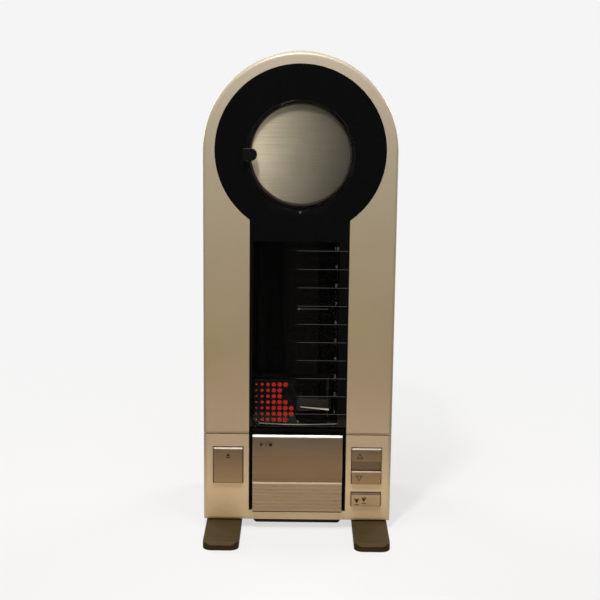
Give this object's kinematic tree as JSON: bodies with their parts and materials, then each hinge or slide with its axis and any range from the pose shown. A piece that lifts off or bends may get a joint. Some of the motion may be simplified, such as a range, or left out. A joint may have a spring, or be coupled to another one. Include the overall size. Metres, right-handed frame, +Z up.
{
  "type": "portable turntable",
  "caption": "Upright portable record player with an arched hinged lid, a window onto a linear-tracking pickup, a clamp knob, push controls and swing-out feet.",
  "frame": {"origin": "on the floor under the middle of the box that holds body and feet", "axes": "+X to the right seen from the front, -Y the front, +Z up"},
  "size_m": [0.105, 0.121, 0.265],
  "materials": {
    "champagne_shell": "satin metallic paint",
    "control_face": "satin metallic paint",
    "smoked_acrylic": "polished smoked acrylic",
    "clear_acrylic": "polished clear acrylic",
    "brushed_aluminium": "brushed",
    "satin_key": "satin brushed, warm anodised",
    "black_plastic": "fine matt",
    "black_gloss": "gloss",
    "grey_plastic": "fine matt",
    "olive_foot": "satin",
    "rubber": "matt",
    "steel": "ground",
    "sheet_steel": "zinc plated",
    "bronze": "turned",
    "white_nylon": "moulded",
    "circuit_board": "solder mask",
    "copper_coil": "enamelled wire",
    "cell_jacket": "plain foil jacket",
    "magnet": "sintered",
    "platter_metal": "turned",
    "arm_metal": "satin",
    "stylus_red": "moulded"
  },
  "bodies": {
    "base": {"base_shell": "champagne_shell", "base_deck": "grey_plastic", "control_panel": "control_face", "start_well": "black_plastic", "base_skid": "black_plastic", "search_divider": "satin_key", "control_board": "circuit_board", "key_switches": "black_plastic", "main_board": "circuit_board", "battery_tray": "black_plastic", "battery_cells": "cell_jacket", "battery_contacts": "sheet_steel", "motor_plate": "sheet_steel", "stator_coils": "copper_coil", "spindle_bearing": "bronze", "audio_jacks": "black_plastic", "dc_inlet": "black_plastic", "back_pads": "rubber", "case_screws": "steel", "hinge_pin": "steel", "start_pins": "steel", "foot_pins": "steel"},
    "platter": {"platter": "platter_metal", "platter_mat": "rubber", "spindle": "steel", "rotor_magnet": "magnet"},
    "lid": {"lid_cover": "champagne_shell", "lid_striker": "sheet_steel", "keyhole_panel": "smoked_acrylic", "lid_liner": "grey_plastic", "clamp_housing": "black_plastic", "guide_rod": "steel", "upper_bracket": "sheet_steel", "lower_bracket": "sheet_steel", "feed_motor": "steel"},
    "screw": {"feed_screw": "steel", "screw_gear": "white_nylon"},
    "pinion": {"motor_pinion": "bronze"},
    "carriage": {"carriage_frame": "black_plastic", "carriage_cover": "black_gloss", "arm_pivot_pin": "steel", "feed_nut": "white_nylon", "rod_bushes": "bronze"},
    "arm": {"tonearm": "arm_metal", "cartridge": "black_plastic", "stylus": "stylus_red"},
    "knob": {"knob_body": "black_gloss", "knob_disc": "brushed_aluminium", "knob_lens": "clear_acrylic"},
    "plunger": {"clamp_carrier": "white_nylon"},
    "clamp": {"clamp_disc": "grey_plastic", "clamp_pad": "rubber"},
    "start": {"start_bar": "satin_key"},
    "release": {"release_button": "satin_key"},
    "search_up": {"search_up_button": "satin_key"},
    "search_down": {"search_down_button": "satin_key"},
    "cue": {"cue_button": "satin_key"},
    "foot_left": {"left_foot": "olive_foot"},
    "foot_right": {"right_foot": "olive_foot"},
    "door": {"battery_door": "champagne_shell"}
  },
  "joints": [
    {"name": "lid_hinge", "type": "hinge", "parent": "base", "child": "lid", "pos_m": [0, -0.0236, 0.05705], "axis": [1, 0, 0], "range_deg": [0, 60]},
    {"name": "platter_spin", "type": "hinge", "parent": "base", "child": "platter", "pos_m": [0, 0.0055, 0.2105], "axis": [0, 1, 0], "continuous": true},
    {"name": "disc_hold_turn", "type": "hinge", "parent": "lid", "child": "knob", "pos_m": [0, 0.0055, 0.2105], "axis": [0, -1, 0], "range_deg": [0, 90]},
    {"name": "clamp_slide", "type": "slide", "parent": "lid", "child": "plunger", "axis": [0, 1, 0], "range_m": [0, 0.0027]},
    {"name": "clamp_spin", "type": "hinge", "parent": "plunger", "child": "clamp", "pos_m": [0, 0.0055, 0.2105], "axis": [0, 1, 0], "continuous": true},
    {"name": "feed_screw_turn", "type": "hinge", "parent": "lid", "child": "screw", "pos_m": [0.023, -0.0103, 0.0698], "axis": [0, 0, 1], "range_deg": [0, 2550]},
    {"name": "carriage_feed", "type": "slide", "parent": "lid", "child": "carriage", "axis": [0, 0, 1], "range_m": [0, 0.085]},
    {"name": "pinion_turn", "type": "hinge", "parent": "lid", "child": "pinion", "pos_m": [0.037, -0.0103, 0.0698], "axis": [0, 0, 1], "range_deg": [-7650, 0]},
    {"name": "arm_lower", "type": "hinge", "parent": "carriage", "child": "arm", "pos_m": [0.0166, -0.015, 0.0698], "axis": [0, 0, -1], "range_deg": [0, 8.5]},
    {"name": "start_press", "type": "hinge", "parent": "base", "child": "start", "pos_m": [0, -0.0213, 0.05], "axis": [1, 0, 0], "range_deg": [0, 3], "stiffness_Nm_per_rad": 1, "springref_deg": -1.15},
    {"name": "release_press", "type": "slide", "parent": "base", "child": "release", "axis": [0, 1, 0], "range_m": [0, 0.002], "stiffness_N_per_m": 500, "springref_m": -0.0005},
    {"name": "search_up_press", "type": "slide", "parent": "base", "child": "search_up", "axis": [0, 1, 0], "range_m": [0, 0.0012], "stiffness_N_per_m": 500, "springref_m": -0.0005},
    {"name": "search_down_press", "type": "slide", "parent": "base", "child": "search_down", "axis": [0, 1, 0], "range_m": [0, 0.0012], "stiffness_N_per_m": 500, "springref_m": -0.0005},
    {"name": "cue_press", "type": "slide", "parent": "base", "child": "cue", "axis": [0, 1, 0], "range_m": [0, 0.0012], "stiffness_N_per_m": 500, "springref_m": -0.0005},
    {"name": "left_foot_swing", "type": "hinge", "parent": "base", "child": "foot_left", "pos_m": [-0.041, -0.0115, 0], "axis": [0, 0, -1], "range_deg": [0, 180]},
    {"name": "right_foot_swing", "type": "hinge", "parent": "base", "child": "foot_right", "pos_m": [0.041, -0.0115, 0], "axis": [0, 0, 1], "range_deg": [0, 180]},
    {"name": "battery_door_lift", "type": "slide", "parent": "base", "child": "door", "axis": [0, 1, 0], "range_m": [0, 0.03]}
  ],
  "couplings": [
    {"joint": "clamp_slide", "follows": "disc_hold_turn", "m_per_rad": 0.0017189},
    {"joint": "feed_screw_turn", "follows": "carriage_feed", "rad_per_m": 523.6},
    {"joint": "pinion_turn", "follows": "carriage_feed", "rad_per_m": -1570.8}
  ]
}
